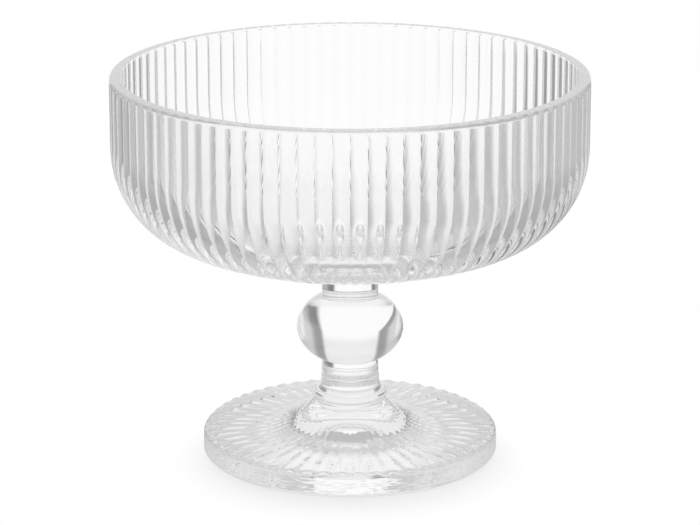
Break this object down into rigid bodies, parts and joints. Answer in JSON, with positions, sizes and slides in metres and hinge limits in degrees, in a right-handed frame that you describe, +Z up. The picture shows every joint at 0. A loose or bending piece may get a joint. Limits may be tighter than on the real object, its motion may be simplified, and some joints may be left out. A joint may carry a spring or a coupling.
{
  "type": "ice cream cup",
  "caption": "Footed ice cream cup in clear pressed glass: a wide reeded bowl with a rounded shoulder on a knopped stem and a round foot that is ribbed on top and hollowed underneath.",
  "frame": {"origin": "centre of the base, on the plane of the ring that the foot stands on", "axes": "+Z up along the cup's axis, towards the mouth of the bowl; X and Y lie in the plane of the base"},
  "size_m": [0.12, 0.12, 0.0986],
  "materials": {
    "glass": "clear, fire-polished, glossy"
  },
  "bodies": {
    "root": {"foot": "glass", "lower_neck": "glass", "knop": "glass", "upper_neck": "glass", "bowl": "glass"}
  },
  "joints": []
}
